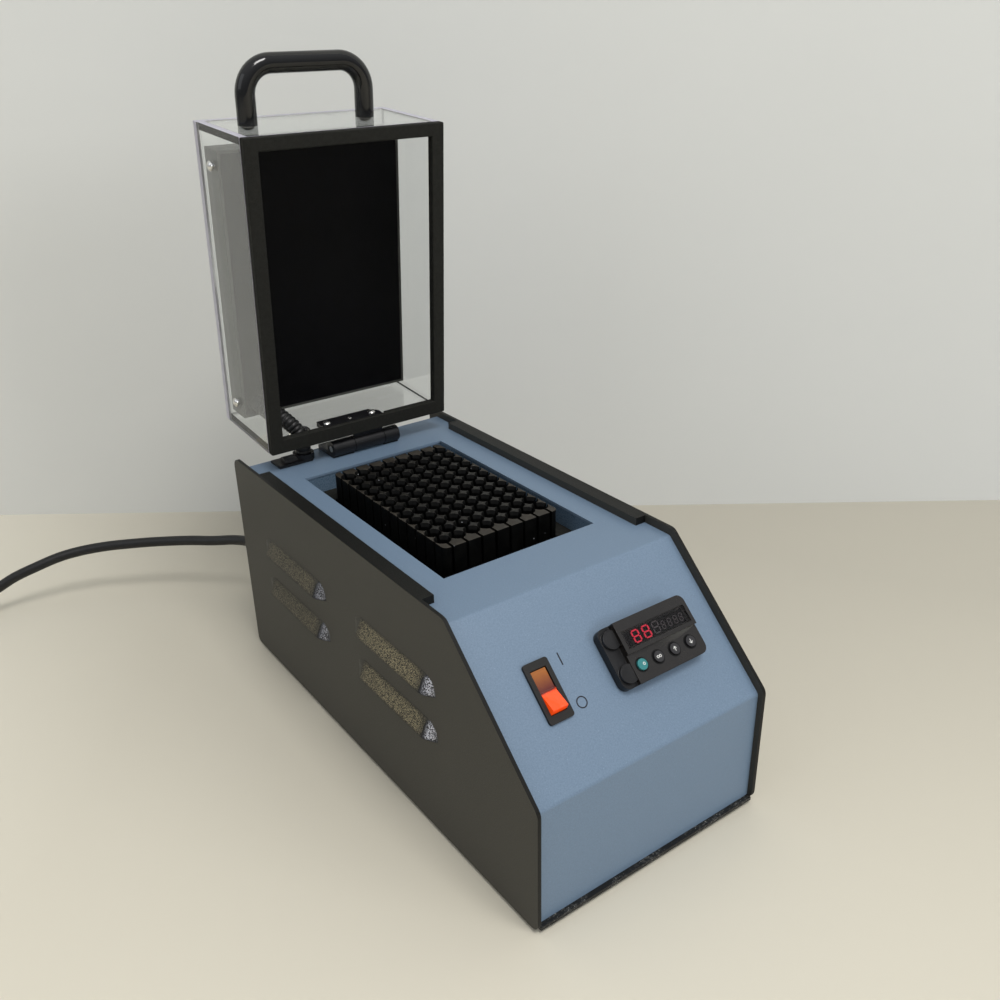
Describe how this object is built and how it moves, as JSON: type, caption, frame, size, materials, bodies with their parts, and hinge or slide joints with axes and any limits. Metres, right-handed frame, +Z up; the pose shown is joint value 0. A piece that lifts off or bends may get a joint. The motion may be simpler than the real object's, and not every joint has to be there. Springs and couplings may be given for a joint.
{
  "type": "microplate incubator",
  "caption": "Benchtop dry block incubator for a microplate: sloping control panel, heated well block and a hinged clear lid with its own heater, mains lead plugged in behind",
  "frame": {"origin": "middle of the object's footprint on the bench, without its cord", "axes": "+X to the right seen from the front, +Y to the back, +Z up"},
  "size_m": [0.4674, 0.4835, 0.3602],
  "materials": {
    "blue_powder_coat": "satin",
    "black_panel_coat": "satin",
    "black_rubber": "matte",
    "zinc_screw": "satin",
    "insulation": "matte",
    "black_anodised": "satin",
    "bare_aluminium": "satin",
    "silicone_heater": "matte",
    "white_plastic": "matte",
    "black_plastic": "satin",
    "rocker_orange": "gloss",
    "dark_ink": "matte",
    "green_board": "satin",
    "smoked_window": "gloss",
    "lit_red": "matte",
    "teal_key": "matte",
    "dark_key": "matte",
    "clear_acrylic": "gloss",
    "black_handle": "gloss",
    "brass_blade": "satin"
  },
  "bodies": {
    "case": {"top_cover": "blue_powder_coat", "left_side_panel": "black_panel_coat", "right_side_panel": "black_panel_coat", "base_pan": "black_panel_coat", "rear_panel": "black_panel_coat", "rubber_feet": "black_rubber", "base_screws": "zinc_screw", "chamber_liner": "blue_powder_coat", "chamber_insulation": "insulation", "chamber_floor": "black_rubber", "well_block": "black_anodised", "well_posts": "black_anodised", "block_heater": "silicone_heater", "heater_clamp_plate": "bare_aluminium", "block_screws": "zinc_screw", "block_standoffs": "white_plastic", "block_sensor": "zinc_screw", "thermal_cutout": "white_plastic", "heater_relay": "white_plastic", "terminal_strip": "white_plastic", "power_inlet": "black_plastic", "inlet_screws": "zinc_screw", "switch_housing": "black_plastic", "switch_marks": "dark_ink", "controller_front": "black_plastic", "controller_case": "black_plastic", "controller_collar": "black_plastic", "controller_gasket": "black_rubber", "controller_board": "green_board", "display_window": "smoked_window", "display_digits": "lit_red", "hinge_body_leaf": "black_panel_coat", "hinge_pin": "zinc_screw", "hinge_body_screws": "zinc_screw", "hinge_backing_plate": "zinc_screw", "cable_gland": "black_plastic", "mains_connector": "black_rubber", "mains_cord": "black_rubber", "mains_cord_coil": "black_rubber", "mains_plug": "black_rubber", "plug_pins": "brass_blade"},
    "lid": {"hinge_lid_leaf": "black_panel_coat", "hinge_lid_screws": "zinc_screw", "lid_top_plate": "clear_acrylic", "lid_side_plates": "clear_acrylic", "lid_end_plates": "clear_acrylic", "lid_gasket": "black_rubber", "lid_handle": "black_handle", "handle_screws": "zinc_screw", "lid_heater_box": "black_panel_coat", "lid_heater_plate": "black_anodised", "lid_heating_pad": "silicone_heater", "lid_insulation": "insulation", "lid_side_screws": "black_panel_coat", "lid_cable": "black_rubber"},
    "rocker": {"switch_rocker": "rocker_orange"},
    "key_1": {"key_1": "teal_key"},
    "key_2": {"key_2": "dark_key"},
    "key_3": {"key_3": "dark_key"},
    "key_4": {"key_4": "dark_key"}
  },
  "joints": [
    {"name": "lid_hinge", "type": "hinge", "parent": "case", "child": "lid", "pos_m": [0, 0.10562, 0.1356], "axis": [1, 0, 0], "range_deg": [-24, 85.9], "deforming": ["lid_cable"]},
    {"name": "rocker_tilt", "type": "hinge", "parent": "case", "child": "rocker", "pos_m": [-0.0382, -0.13092, 0.09896], "axis": [1, 0, 0], "range_deg": [0, 22]},
    {"name": "key_1_press", "type": "slide", "parent": "case", "child": "key_1", "axis": [0, 0.682, -0.7314], "range_m": [0, 0.0008], "stiffness_N_per_m": 150, "springref_m": -0.0004},
    {"name": "key_2_press", "type": "slide", "parent": "case", "child": "key_2", "axis": [0, 0.682, -0.7314], "range_m": [0, 0.0008], "stiffness_N_per_m": 150, "springref_m": -0.0004},
    {"name": "key_3_press", "type": "slide", "parent": "case", "child": "key_3", "axis": [0, 0.682, -0.7314], "range_m": [0, 0.0008], "stiffness_N_per_m": 150, "springref_m": -0.0004},
    {"name": "key_4_press", "type": "slide", "parent": "case", "child": "key_4", "axis": [0, 0.682, -0.7314], "range_m": [0, 0.0008], "stiffness_N_per_m": 150, "springref_m": -0.0004}
  ]
}
